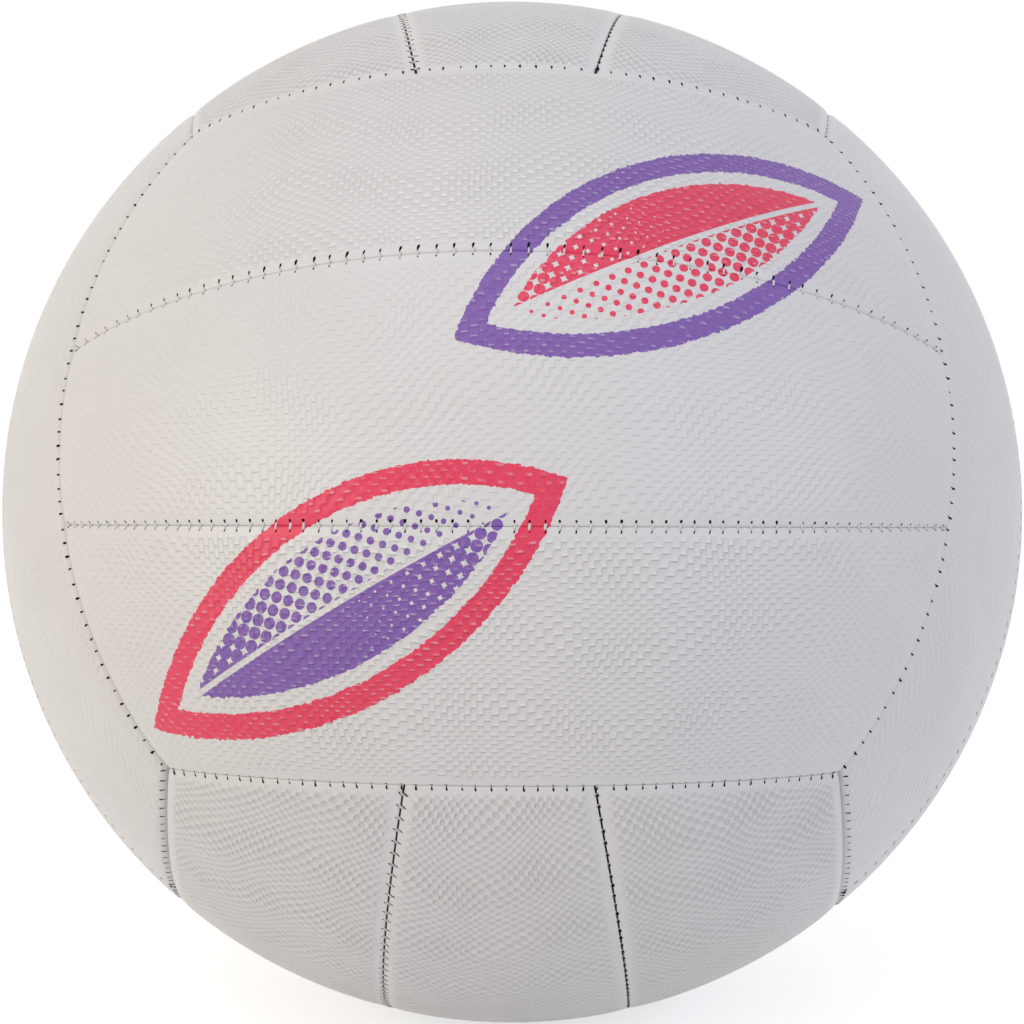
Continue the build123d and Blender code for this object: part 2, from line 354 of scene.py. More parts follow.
def open_round_hole(along, across, half_length, half_width):
    """Bend a square of grid lines into circles round the valve hole, easing back to the plain grid at
    three times the hole's radius. Also the size of the square that each point was on."""
    x, y = along * half_length, across * half_width
    square = np.maximum(np.abs(x), np.abs(y))
    circle = np.maximum(np.hypot(x, y), 1e-9)
    ease = np.clip((3 * valve_hole_radius - square) / (2 * valve_hole_radius), 0, 1)
    share = 1 + ease * (square / circle - 1)
    return along * share, across * share, square


def edge_drop(distance, roll):
    """How far the surface falls by an edge: the whole fall at the edge, none at the roll's reach, and
    between them one less a power of one less the square of the share of the way to the edge."""
    reach, fall, softness = roll
    inward = np.clip(1 - distance / reach, 0, 1)
    return fall * (1 - (1 - inward**2) ** softness)


def strip_grid(width, has_valve):
    """Grid of a strip: the places of its points along and across it, from -1 to 1, which of its cells are
    used, and how far the cover falls by the valve hole."""
    half_length, half_width = strip_length / 2, width / 2
    along_lines = edge_lines(along_spacing, strip_length)
    across_lines = edge_lines(across_spacing, width)
    if not has_valve:
        used = np.ones((len(across_lines) - 1, len(along_lines) - 1), bool)
        return *np.meshgrid(along_lines, across_lines), used, 0.0
    along, across = np.meshgrid(hole_lines(along_lines, half_length), hole_lines(across_lines, half_width))
    along, across, square = open_round_hole(along, across, half_length, half_width)
    cell_middle = (square[:-1, :-1] + square[:-1, 1:] + square[1:, 1:] + square[1:, :-1]) / 4
    from_rim = np.maximum(square - valve_hole_radius, 0)
    return along, across, cell_middle > valve_hole_radius, edge_drop(from_rim, valve_hole_roll)


def strip_rows(across, outer, seam_gap, edge_gap):
    """Lean and miss of the circles that run along a strip. Across the middle strip, from -1 to 1, both
    grow from one inner seam to the other; across an outer one they go from the inner seam to the edge."""
    gap_turn = seam_gap / ball_radius
    seam_turn = asin(seam_miss)
    if outer:
        share = (across + 1) / 2
        edge_side = pi / 2 - cone_angle - edge_gap / ball_radius
        lean = seam_lean + (cone_lean - seam_lean) * share
        return lean, np.sin(seam_turn + gap_turn + (edge_side - seam_turn - gap_turn) * share)
    return seam_lean * across, np.sin((seam_turn - gap_turn) * across)


def strip_points(along, across, outer, seam_gap, end_gap, edge_gap):
    """Points of a strip on the unit sphere, in its face's directions, for along and across from -1 to 1.
    Each row is a circle n.P = miss with n tilted by lean; along runs by angle between the two end cones."""
    lean, miss = strip_rows(across, outer, seam_gap, edge_gap)
    span = np.sqrt(1 - miss**2)
    end_limit = cos(cone_angle - end_gap / ball_radius)
    near, side = span * cos(cone_lean) * np.cos(lean), span * sin(cone_lean)
    limit = end_limit + miss * np.sin(lean) * cos(cone_lean)
    end = np.arccos(limit / np.hypot(near, side)) - np.arctan2(side, near)
    turn = along * end
    up = span * np.cos(turn)
    points = np.stack([span * np.sin(turn), miss * np.cos(lean) + up * np.sin(lean),
                       up * np.cos(lean) - miss * np.sin(lean)], -1)
    return points, turn


def seam_distances(points, outer):
    """Distance in metres of unit points from the two end seams and the two long seams of their strip."""
    end_axes = [(-side * sin(cone_lean), 0, cos(cone_lean)) for side in (1, -1)]
    ends = [cone_angle - np.arccos(np.clip(points @ axis, -1, 1)) for axis in end_axes]
    seam_axis = np.array([0, cos(seam_lean), -sin(seam_lean)])
    seam_turn = asin(seam_miss)
    if outer:
        edge_axis = np.array([0, cos(cone_lean), -sin(cone_lean)])
        sides = [np.arcsin(points @ seam_axis) - seam_turn,
                 pi / 2 - cone_angle - np.arcsin(points @ edge_axis)]
    else:
        sides = [seam_turn - np.arcsin(points @ (seam_axis * (1, side, 1))) for side in (1, -1)]
    return np.maximum(ball_radius * np.stack(ends + sides), 0)


def share_past(place, start):
    """How far a place from -1 to 1 has gone past start to its end: 0 up to start, 1 at the end."""
    return np.clip((np.abs(place) - start) / (1 - start), 0, 1)


def shell(outside, inside, used, grain_place, depth, name, material):
    """Closed mesh of two like grids, one under the other, over the used cells, walled at every rim. Its
    points carry the place in the grip and the grip's depth."""
    rows, columns = used.shape[0] + 1, used.shape[1] + 1
    index = np.arange(rows * columns).reshape(rows, columns)
    quads = np.stack([index[:-1, :-1], index[:-1, 1:], index[1:, 1:], index[1:, :-1]], -1)[used]
    starts, stops = quads.ravel(), np.roll(quads, -1, 1).ravel()
    total = rows * columns
    rim = ~np.isin(starts * total + stops, stops * total + starts)
    starts, stops = starts[rim], stops[rim]
    walls = np.stack([stops, starts, starts + total, stops + total], -1)
    cells = np.concatenate([quads, quads[:, ::-1] + total, walls])
    kept, cells = np.unique(cells, return_inverse=True)
    points = np.concatenate([outside.reshape(-1, 3), inside.reshape(-1, 3)])[kept]
    mesh = bpy.data.meshes.new(name)
    mesh.from_pydata(points.tolist(), [], cells.reshape(-1, 4).tolist())
    mesh.polygons.foreach_set("use_smooth", np.ones(len(mesh.polygons), bool))
    stored = mesh.attributes.new("grain", "FLOAT_VECTOR", "POINT")
    both = np.concatenate([grain_place.reshape(-1, 3)] * 2)[kept]
    stored.data.foreach_set("vector", both.astype(np.float32).ravel())
    stored = mesh.attributes.new("grip_depth", "FLOAT", "POINT")
    stored.data.foreach_set("value", np.tile(depth.ravel(), 2)[kept].astype(np.float32))
    mesh.materials.append(material)
    piece = bpy.data.objects.new(name, mesh)
    bpy.context.scene.collection.objects.link(piece)
    return piece


# Cover finish. The bricks stand in columns, each half a brick on from the next, and end in a small step;
# their spacing swells and shrinks in waves, so the grip shimmers, and they fade out along the seams. Ink
# is printed over them on the two main faces.
cover_white = (0.735, 0.725, 0.715, 1.0)
cover_shade = (0.69, 0.68, 0.672, 1.0)
# Lighter colour of the painted highlight on the bricks' crests
cover_highlight = (0.82, 0.81, 0.8, 1.0)
hollow_tint = (0.8, 0.8, 0.8, 1.0)
# Near-black colour of the painted shade in the deep seams
seam_shade_colour = (0.05, 0.05, 0.05, 1.0)
ink_purple = (0.2, 0.082, 0.4, 1.0)
ink_pink = (0.81, 0.025, 0.095, 1.0)

# Spacing of the grip in millimetres, the length of its waves, and how the waves drift along the other
# direction: the drift's own wave length and its most, as an angle of the wave
column_width = 1.35
column_wave = 23.5
column_drift = (41.0, 1.1)
brick_period = 2.4
brick_wave = 18.0
brick_drift = (53.0, 1.3)
brick_swell = 0.25
brick_height = 0.00015
column_softness = 0.75
bare_rim = (0.9, 3.0)

# Stretches of a brick's length: its rise out of the hollow, its step down, and its crest's two ends.
# Then the middle of a crest across its column, and the rise of a round pillow
brick_rise = (0.1, 0.7)
brick_step = (1.0, 0.86)
crest_start = (0.66, 0.76)
crest_stop = (0.9, 0.82)
crest_middle = (0.1, 0.7)
pillow_rise = (-0.95, 0.5)

# Fine grain of the rubber, patches dulled by handling, a painted highlight on the crests, painted shade in
# the hollows and painted shade in the seams
fine_grain_per_metre = 2600.0
fine_grain_height = 0.12
handled_patches_per_metre = 38.0
handled_span = (0.35, 0.75)
handled_shade = 0.2
handled_roughness = 0.08
cover_roughness = 0.38
crest_highlight_share = 0.8
hollow_shade = 0.9
hollow_shade_start = -0.75
seam_shade_span = (0.0004, 0.0025)

# Ink: the ragged reach of its edges in millimetres, its even wear, and patches where the ink on the crests
# is paled as a painted highlight
ragged_per_metre = 1100.0
ragged_reach = 0.6
wear_per_metre = 900.0
wear_range = 0.08
wear_least = -0.01
highlight_patches_per_metre = 450.0
highlight_patch_span = (0.35, 0.65)
crest_ink_highlight = 0.35

# Printed leaf, in millimetres: a bold outline of two arcs, a bare band, then a field of dots on both sides
# of a bare vein. The dots grow along the leaf, and on its upper half into a solid
leaf_half_length = 44.0
leaf_half_width = 18.5
leaf_bend = (leaf_half_length**2 + leaf_half_width**2) / (2 * leaf_half_width)
outline_width = 4.4
bare_width = 2.8
vein_width = 1.1
dot_pitch = 2.3
dot_size = 0.36
upper_growth = 0.3
along_growth = 0.3

# Each print: its middle in millimetres from the ball's, its turn, and the inks of its outline and field
prints = (
    ((31.0, 0.0, 28.0), radians(-27), ink_purple, ink_pink),
    ((-27.0, 0.0, -37.0), radians(153), ink_pink, ink_purple),
)


def length_of(tree, first, second):
    """Length of a line that goes so far in two square directions."""
    second_square = calc(tree, "MULTIPLY", second, second)
    return calc(tree, "SQRT", calc(tree, "MULTIPLY_ADD", first, first, second_square))


def off_dot(tree, place):
    """Distance from the middle of the nearest dot along a slanting row, in dots."""
    count = calc(tree, "MULTIPLY", place, sqrt(0.5) / dot_pitch)
    return calc(tree, "SUBTRACT", calc(tree, "FRACT", count), 0.5)


leaf, given, result = new_group(
    "printed_leaf", {"Place": "Vector", "Ragged": "Float"}, {"Outline": "Float", "Field": "Float"}
)
leaf_along, _, leaf_across = add_node(leaf, "ShaderNodeSeparateXYZ", {0: given["Place"]}).outputs
off_middle = calc(leaf, "ABSOLUTE", leaf_across)
from_bend = length_of(leaf, leaf_along, calc(leaf, "ADD", off_middle, leaf_bend - leaf_half_width))
inset = calc(leaf, "SUBTRACT", calc(leaf, "ADD", given["Ragged"], leaf_bend), from_bend)
in_leaf = calc(leaf, "GREATER_THAN", inset, 0.0)
outline = calc(leaf, "MULTIPLY", in_leaf, calc(leaf, "LESS_THAN", inset, outline_width))
leaf.links.new(outline, result["Outline"])
upper_half = calc(leaf, "GREATER_THAN", leaf_across, 0.0)
half_growth = calc(leaf, "MULTIPLY_ADD", upper_half, upper_growth, dot_size)
growth = calc(leaf, "MULTIPLY_ADD", leaf_along, along_growth / leaf_half_length, half_growth)
dot_rows = [calc(leaf, slant, leaf_along, leaf_across) for slant in ("ADD", "SUBTRACT")]
from_dot = length_of(leaf, *[off_dot(leaf, row) for row in dot_rows])
dots = calc(leaf, "LESS_THAN", from_dot, growth)
field = calc(leaf, "GREATER_THAN", inset, outline_width + bare_width)
off_vein = calc(leaf, "GREATER_THAN", off_middle, vein_width / 2)
leaf.links.new(calc(leaf, "MULTIPLY", calc(leaf, "MULTIPLY", dots, field), off_vein), result["Field"])


def grip_count(tree, value, period, wave_length, push):
    """Bricks or columns counted up to a place, their period swelling and shrinking in waves. Also how high
    bricks stand there: lower where they are closer, so that their steps are as steep."""
    angle = calc(tree, "MULTIPLY_ADD", value, 2 * pi / wave_length, push)
    even_count = calc(tree, "DIVIDE", value, period)
    swell = brick_swell * wave_length / (2 * pi * period)
    count = calc(tree, "MULTIPLY_ADD", calc(tree, "SINE", angle), swell, even_count)
    return count, calc(tree, "MULTIPLY_ADD", calc(tree, "COSINE", angle), -brick_swell, 1.0)


def drift(tree, value, wave_length, most):
    """Slow sideways drift of the waves along the other direction."""
    angle = calc(tree, "MULTIPLY", value, 2 * pi / wave_length)
    return calc(tree, "MULTIPLY", calc(tree, "SINE", angle), most)


def brick_column(tree, count):
    """Height along one column, a soft rise out of each hollow, a flat top and a sharp step down; and a
    mask of the crest above the step."""
    place = calc(tree, "FRACT", count)
    height = calc(tree, "MULTIPLY", ramp(tree, place, *brick_rise), ramp(tree, place, *brick_step))
    return height, calc(tree, "MULTIPLY", ramp(tree, place, *crest_start), ramp(tree, place, *crest_stop))


def blend(tree, share, first, second):
    """Number between two, all second where share is 1."""
    return calc(tree, "MULTIPLY_ADD", share, calc(tree, "SUBTRACT", second, first), first)


cover, tree, shader = new_finish("grip_cover", specular=0.5)
cover_place = object_place(tree)
grain = add_node(tree, "ShaderNodeAttribute", attribute_name="grain").outputs["Vector"]
grip_depth = add_node(tree, "ShaderNodeAttribute", attribute_name="grip_depth").outputs["Fac"]
column_place, brick_place, edge = add_node(tree, "ShaderNodeSeparateXYZ", {0: grain}).outputs
column_push = drift(tree, brick_place, *column_drift)
brick_push = drift(tree, column_place, *brick_drift)
column_count, _ = grip_count(tree, column_place, column_width, column_wave, column_push)
brick_count, stand = grip_count(tree, brick_place, brick_period, brick_wave, brick_push)
column_side = calc(tree, "SINE", calc(tree, "MULTIPLY", column_count, pi))
odd = ramp(tree, column_side, -column_softness, column_softness)
even_bricks, even_crest = brick_column(tree, brick_count)
odd_bricks, odd_crest = brick_column(tree, calc(tree, "ADD", brick_count, 0.5))
bricks = blend(tree, odd, even_bricks, odd_bricks)

# Where the grip is deep the bricks are round pillows, with round hollows between them
pillows = calc(tree, "SINE", calc(tree, "MULTIPLY", brick_count, 2 * pi))
pillows = ramp(tree, calc(tree, "MULTIPLY", column_side, pillows), *pillow_rise)
deep = ramp(tree, grip_depth, rim_grip, deep_grip)
bricks = blend(tree, deep, bricks, pillows)
embossed = ramp(tree, edge, *bare_rim)
grip_height = calc(tree, "MULTIPLY", embossed, grip_depth)
relief = calc(tree, "MULTIPLY", calc(tree, "MULTIPLY", bricks, stand), grip_height)
fine_grain = noise(tree, cover_place, fine_grain_per_metre, detail=2.0)
height = calc(tree, "MULTIPLY_ADD", fine_grain, fine_grain_height, relief)

# Painted highlight: the middle of each brick's crest is painted lighter than the rest, as where it catches
# the light, save where the grip is shallow
crest = blend(tree, odd, even_crest, odd_crest)
crest = calc(tree, "MULTIPLY", crest, ramp(tree, calc(tree, "ABSOLUTE", column_side), *crest_middle))
bricked = calc(tree, "MULTIPLY", embossed, calc(tree, "SUBTRACT", 1.0, deep))
crest = calc(tree, "MULTIPLY", crest, bricked)
handled = ramp(tree, noise(tree, cover_place, handled_patches_per_metre, detail=5.0), *handled_span)
colour = mix_colour(tree, calc(tree, "MULTIPLY", handled, handled_shade), cover_white, cover_shade)
crest_highlight = calc(tree, "MULTIPLY", crest, ramp(tree, grip_depth, main_grip, rim_grip))
colour = mix_colour(tree, calc(tree, "MULTIPLY", crest_highlight, crest_highlight_share), colour, cover_highlight)

# Ink lies over the cover, a little worn; on some of the crests it is paled, as a painted highlight
ragged = noise(tree, cover_place, ragged_per_metre, detail=2.0)
ragged = calc(tree, "MULTIPLY_ADD", ragged, 2 * ragged_reach, -ragged_reach)
wear_and_highlight = noise(tree, cover_place, wear_per_metre, detail=4.0)
wear_and_highlight = calc(tree, "MULTIPLY_ADD", wear_and_highlight, wear_range, wear_least)
highlight_patches = ramp(tree, noise(tree, cover_place, highlight_patches_per_metre, detail=2.0), *highlight_patch_span)
wear_and_highlight = calc(tree, "MULTIPLY_ADD", calc(tree, "MULTIPLY", crest, highlight_patches), crest_ink_highlight, wear_and_highlight)
ink_left = calc(tree, "SUBTRACT", 1.0, wear_and_highlight)
rolled_up = {"Vector": cover_place, "Rotation": (roll_back, 0, 0), "Scale": (millimetres,) * 3}
upright = add_node(tree, "ShaderNodeMapping", rolled_up).outputs[0]
for middle, turn, outline_ink, field_ink in prints:
    laid_out = {"Vector": upright, "Location": middle, "Rotation": (0, turn, 0)}
    leaf_place = add_node(tree, "ShaderNodeMapping", laid_out, vector_type="TEXTURE").outputs[0]
    feeds = {"Place": leaf_place, "Ragged": ragged}
    motif = add_node(tree, "ShaderNodeGroup", feeds, node_tree=leaf).outputs
    for mask, ink in ((motif["Outline"], outline_ink), (motif["Field"], field_ink)):
        colour = mix_colour(tree, calc(tree, "MULTIPLY", mask, ink_left), colour, ink)

# The hollows between the bricks get less light, more so where the grip is deep
hollow = calc(tree, "MULTIPLY", embossed, calc(tree, "SUBTRACT", 1.0, bricks))
shade = calc(tree, "MULTIPLY_ADD", grip_depth, hollow_shade, hollow_shade_start)
colour = mix_colour(tree, calc(tree, "MULTIPLY", hollow, shade), colour, hollow_tint, blend_type="MULTIPLY")

# Painted shade in the seams: the cover is painted darker the deeper it lies below the ball's own radius
radius = add_node(tree, "ShaderNodeVectorMath", {0: cover_place}, operation="LENGTH").outputs["Value"]
seam_shade = ramp(tree, calc(tree, "SUBTRACT", ball_radius, radius), *seam_shade_span)
colour = mix_colour(tree, seam_shade, colour, seam_shade_colour)
roughness = calc(tree, "MULTIPLY_ADD", handled, handled_roughness, cover_roughness)
dress(tree, shader, colour, roughness, height, brick_height)

for face_number, (face, (_, _, strips, _)) in enumerate(faces.items()):
    axes = face_axes(face)
    first_roll, second_roll, edge_roll, strip_roll = face_rolls[face]
    middle_depth, outer_depth, lost_share = face_grips[face]
    for number, strip in enumerate(strips):
        outer = strip != "middle"
        width = outer_width if outer else middle_width
        along, across, used, hole_fall = strip_grid(width, (face, strip) == valve_panel)
        points, turn = strip_points(along, across, outer, *face_gaps[face])
        distance = seam_distances(points, outer)
        nearest = distance.min(0)

        # The third strip is made as the first one and turned half round, so its two ends change places
        way = millimetres
        end_rolls = (first_roll, second_roll)
        if number == 2:
            way = -millimetres
            end_rolls = (second_roll, first_roll)
            points = points * (-1, -1, 1)
        rolls = (*end_rolls, strip_roll, edge_roll if outer else strip_roll)
        dip = seam_dip * np.exp(-distance / seam_dip_reach).sum(0)
        fall = hole_fall + np.max([edge_drop(*pair) for pair in zip(distance, rolls)], 0) + dip
        back = np.where(nearest < hem_wall, hem_depth, panel_wall + dip)
        outside = ((ball_radius - fall)[..., None] * points) @ axes
        inside = ((ball_radius - back)[..., None] * points) @ axes

        grip_along, grip_across = way * turn * ball_radius, way * across * width / 2
        if face in brick_ends:
            column_along, brick_along = grip_across, brick_ends[face] * grip_along
        else:
            column_along, brick_along = grip_along, -grip_across
        start = strip_shift * number + face_shift * face_number
        grain_place = np.stack([column_along + start, brick_along + start, nearest * millimetres], -1)
        depth = (outer_depth if outer else middle_depth) * (1 - lost_share * share_past(along, fade_from))
        node_name = f"{face}_{strip}_panel"
        panel = shell(outside, inside, used, grain_place, depth, node_name + "_cover", cover)
        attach(panel, "root")
        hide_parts(node_name)

# Stitches: waxed white polyester thread, sewn by hand from inside through two rows of needle holes and
# pulled tight across every seam. On the two main faces the pull draws the holes open above each seam;
# on the others the seams gape a little, and the thread lies down in them.
thread_white = (0.76, 0.75, 0.73, 1.0)
thread_shade = (0.6, 0.59, 0.58, 1.0)
hole_shade_dark = (0.004, 0.004, 0.004, 1.0)
hole_shade_rim = (0.014, 0.014, 0.014, 1.0)
plies = 2
twists_per_metre = 3200
ply_span = (-0.9, 0.6)
ply_depth = 0.00003
thread_roughness = 0.4
fuzz_per_metre = 4000.0
fuzz_roughness = 0.2
hole_roughness = 0.75
lint_per_metre = 3000.0
lint_roughness = 0.2
lint_depth = 0.00002

thread, tree, shader = new_finish("waxed_thread", specular=0.35)
strand = add_node(tree, "ShaderNodeAttribute", attribute_name="strand").outputs["Vector"]
strand_along, strand_round, _ = add_node(tree, "ShaderNodeSeparateXYZ", {0: strand}).outputs
twist_along = calc(tree, "MULTIPLY", strand_along, 2 * pi * twists_per_metre)
twist_round = calc(tree, "MULTIPLY", strand_round, 2 * pi * plies)
ply = ramp(tree, calc(tree, "SINE", calc(tree, "ADD", twist_along, twist_round)), *ply_span)
fuzz = noise(tree, object_place(tree), fuzz_per_metre, detail=3.0)
# The grooves between the plies get the thread's darker copy: painted shade along the twist, beside their
# bump
thread_colour = mix_colour(tree, ply, thread_shade, thread_white)
roughness = calc(tree, "MULTIPLY_ADD", fuzz, fuzz_roughness, thread_roughness)
dress(tree, shader, thread_colour, roughness, ply, ply_depth)

# Needle holes: thin near-black lenses on the cover, painted shade that stands for the dark inside of each
# hole
needle_hole_shade, tree, shader = new_finish("needle_hole_shade", specular=0.02)
lint = noise(tree, object_place(tree), lint_per_metre, detail=3.0)
hole_colour = mix_colour(tree, lint, hole_shade_dark, hole_shade_rim)
roughness = calc(tree, "MULTIPLY_ADD", lint, lint_roughness, hole_roughness)
dress(tree, shader, hole_colour, roughness, lint, lint_depth)

# A stitch's loop is given by its reach to each side, its rise, its slope and the radius of its thread; a
# needle hole by half its size along and across the seam, the place of its middle across, and its slope.
# First, with their pitch, the two seams between a face's strips: 1 is the upper, right or rear one. Each
# stitch's first hole lies on the upper, right or rear side of its seam, the second on the other side
pulled_seams = {
    1: (0.00335, (0.0008, -0.00024, 0.1, 0.00021),
        ((0.00026, 0.00055, 0.00108, 0.25), (0.00017, 0.00024, 0.00078, 0.2))),
    -1: (0.00275, (0.0008, -0.00024, 0.15, 0.00026),
         ((0.00026, 0.0004, 0.00085, 0.0), (0.00015, 0.00034, 0.00085, 0.25))),
}
gaping_seams = {
    1: (0.0029, (0.0005, -0.0008, 0.4, 0.0002),
        ((0.0005, 0.0002, 0.0002, 0.0), (0.0001, 0.0001, 0.0003, 0.0))),
    -1: (0.0029, (0.0007, -0.00028, 0.7, 0.00024),
         ((0.00016, 0.0005, 0.0006, 0.7), (0.00016, 0.00035, 0.0005, 0.7))),
}

# Loop and holes of the cube edges at the two ends of each face's strips
shallow_loop = (0.0003, -0.0007, 0.0, 0.0002)
deep_loop = (0.0003, -0.0014, 0.0, 0.0002)
slash_holes = ((0.00021, 0.0007, -0.0001, 0.12),)
dot_holes = ((0.00023, 0.0005, 0.0008, 0.0),)
tick_holes = ((0.0002, 0.00045, 0.0005, 0.1), (0.00025, 0.00012, -0.00022, 1.0))
nick_holes = ((0.00024, 0.0004, -0.0014, 0.0),)
dash_holes = ((0.00016, 0.0005, 0.0014, 0.3),)
speck_holes = ((0.00012, 0.00015, 0.0004, 0.0),)
edge_sewing = {
    "front": ((shallow_loop, slash_holes), (deep_loop, nick_holes)),
    "rear": ((deep_loop, nick_holes), (shallow_loop, slash_holes)),
    "top": ((shallow_loop, dot_holes), (shallow_loop, dot_holes)),
    "bottom": ((shallow_loop, tick_holes), (shallow_loop, tick_holes)),
    "left": ((shallow_loop, speck_holes), (deep_loop, dash_holes)),
    "right": ((deep_loop, dash_holes), (shallow_loop, speck_holes)),
}
edge_pitch = 0.0028
top_edge_pitch = 0.003

# Towards the ends of the main faces' seams the stitches shrink and lean. The ball was closed in the middle
# of the front's lower seam, where the last stitch is small and one place beside it is empty
shrink_from = 0.45
end_shrink = 0.5
lean_from = 0.45
lean_most = 0.0007
closing_seam = ("front", -1)
closing_size = 0.6

# Share of a seam that is sewn, and how far hand sewing wanders: in shares of half a pitch, in metres along
# the seam and of lean, and in shares of the reach, the thread and the holes
sewn_share = 0.995
pitch_wander = 0.07
shift_wander = 0.0001
lean_wander = 0.00008
reach_wander = 0.1
thread_wander = 0.07
hole_wander = 0.14

# Mesh of a loop, which thins and dives at its ends, and of a hole, a lens of two rings and two middles at
# these heights over the cover. A hole is narrow towards its seam, and follows a share of its loop's lean
loop_sides = 7
loop_steps = 9
end_taper = 0.35
dive_depth = 0.0004
hole_sides = 12
lens_heights = (0.00002, 0.00005, 0.00006, -0.0004)
hole_width = 0.8
hole_widening = 0.45
hole_lean = 0.45


def seam_frames(axis, middle, turn, angle):
    """Places along a seam circle at the given angles from its middle: the point on the unit sphere, the
    direction along the seam, and the direction across it towards the circle's axis."""
    side = np.cross(axis, middle)
    turn = np.asarray(turn)[:, None]
    outward = np.cos(turn) * middle + np.sin(turn) * side
    point = cos(angle) * axis + sin(angle) * outward
    along = np.cos(turn) * side - np.sin(turn) * middle
    across = sin(angle) * axis - cos(angle) * outward
    return point, along, across


def on_seam(frames, x, y, z):
    """Points in metres from places along a seam: x along it, y across it and z out of the ball."""
    point, along, across = (part[:, None, None, :] for part in frames)
    points = point * (ball_radius + z)[..., None] + along * x[..., None] + across * y[..., None]
    return points.reshape(-1, 3)


def cover_fall(y, rolls):
    """Depth of the cover at y across a seam: each side's own roll, and the dip that both share."""
    near, far = (edge_drop(np.abs(y), roll) for roll in rolls)
    return np.where(y > 0, near, far) + seam_dip * np.exp(-np.abs(y) / seam_dip_reach)


def stitch_turns(half_turn, radius, pitch, rng):
    """Angles of the stitches along a seam, evenly spread with a small seeded wander, and their even places
    from -1 to 1."""
    count = round(2 * half_turn * radius / pitch)
    places = (np.arange(count) + 0.5) / count * 2 - 1
    return (places + rng.normal(0, pitch_wander / count, count)) * half_turn * sewn_share, places


def loop_tubes(frames, shift, lean, reach, rise, slope, thick):
    """Points of one thread tube for each stitch, their places along and round the strand, and the cells.
    The middle line crosses the seam, bulges by lean, and dives at both ends by the sixth power."""
    step = np.linspace(-1, 1, loop_steps)[None, :, None]
    ring = (np.arange(loop_sides) * 2 * pi / loop_sides)[None, None, :]
    thick = thick * (1 - end_taper * step**4)
    y = reach * step
    x = shift + lean * (1 - np.abs(step) ** 1.5) + slope * y + thick * np.cos(ring)
    z = rise - dive_depth * step**6 + thick * np.sin(ring)
    strands = np.stack(np.broadcast_arrays(y, ring / (2 * pi), 0 * x), -1).reshape(-1, 3)
    index = np.arange(x.size).reshape(x.shape)
    after = np.roll(index, -1, 2)
    quads = np.stack([index[:, :-1], index[:, 1:], after[:, 1:], after[:, :-1]], -1).reshape(-1, 4)
    caps = np.concatenate([index[:, 0], index[:, -1, ::-1]])
    return on_seam(frames, x, y, z), strands, (quads, caps)


def hole_lenses(frames, shift, lean, size, swell, hole, rolls):
    """Points and cells of one thin dark lens for each stitch, which follows the cover: painted shade that
    stands for the dark inside of its needle hole. Its outline is an ellipse, made narrower towards the seam
    and sheared by its slope and by a share of the loop's lean."""
    half_along, half_across, middle, slope = hole
    spin = (np.arange(hole_sides) * 2 * pi / hole_sides)[None, :, None]
    outward = np.sin(spin)
    offset = np.copysign(half_across, middle) * swell * outward
    narrowed = half_along * swell * np.cos(spin) * (hole_width + hole_widening * outward)
    askew = slope * offset - hole_lean * lean * outward + narrowed
    x = shift + np.concatenate([askew, askew / 2, 0 * size, 0 * size], 1)
    y = middle * size + np.concatenate([offset, offset / 2, 0 * size, 0 * size], 1)
    height = np.repeat(lens_heights, [hole_sides, hole_sides, 1, 1])[None, :, None]
    points = on_seam(frames, x, y, height - cover_fall(y, rolls))

    rim = np.arange(hole_sides)
    waist = rim + hole_sides
    top, under = np.full((2, hole_sides), [[2 * hole_sides], [2 * hole_sides + 1]])
    next_rim, next_waist = np.roll(rim, -1), np.roll(waist, -1)
    quads = np.stack([rim, next_rim, next_waist, waist], -1)
    caps = np.concatenate([np.stack([waist, next_waist, top], -1), np.stack([next_rim, rim, under], -1)])
    base = (np.arange(len(x)) * x.shape[1])[:, None, None]
    turned = slice(None) if middle > 0 else slice(None, None, -1)
    return points, [(cells + base).reshape(-1, cells.shape[-1])[:, turned] for cells in (quads, caps)]


def stitch_run(frames, lean, size, loop, holes, rolls, rng):
    """Loops and needle holes of one seam, each a little off its place, lean and size. They come as parts:
    the number of the material, points, places on the strand and groups of cells."""
    # For each stitch one draw for its reach, its place, its lean, its thread and each of two holes
    draws = rng.normal(0, 1, (len(lean), 6)).T[:, :, None, None]
    longer, off_place, off_lean, thicker, *wider = draws
    reach, rise, slope, thread_radius = loop
    size = size[:, None, None]
    shift = shift_wander * off_place
    lean = lean[:, None, None] + lean_wander * off_lean
    reach = reach * size * (1 + reach_wander * longer)
    thick = thread_radius * (1 + thread_wander * thicker)
    parts = [(0, *loop_tubes(frames, shift, lean, reach, rise, slope, thick))]
    for hole, off_size in zip(holes, wider):
        swell = size * (1 + hole_wander * off_size)
        points, cells = hole_lenses(frames, shift, lean, size, swell, hole, rolls)
        parts.append((1, points, np.zeros_like(points), cells))
    return parts


def sew(name, parts, node_name):
    """One mesh piece from the parts of a seam's stitches."""
    points, strands, cells, kinds = [], [], [], []
    base = 0
    for kind, places, strand, groups in parts:
        points.append(places)
        strands.append(strand)
        for group in groups:
            cells += (group + base).tolist()
            kinds += [kind] * len(group)
        base += len(places)
    mesh = bpy.data.meshes.new(name)
    mesh.from_pydata(np.concatenate(points).tolist(), [], cells)
    mesh.materials.append(thread)
    mesh.materials.append(needle_hole_shade)
    mesh.polygons.foreach_set("material_index", np.array(kinds, np.int32))
    mesh.polygons.foreach_set("use_smooth", np.ones(len(kinds), bool))
    stored = mesh.attributes.new("strand", "FLOAT_VECTOR", "POINT")
    stored.data.foreach_set("vector", np.concatenate(strands).astype(np.float32).ravel())
    piece = bpy.data.objects.new(name, mesh)
    bpy.context.scene.collection.objects.link(piece)
    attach(piece, "root")
    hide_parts(node_name)


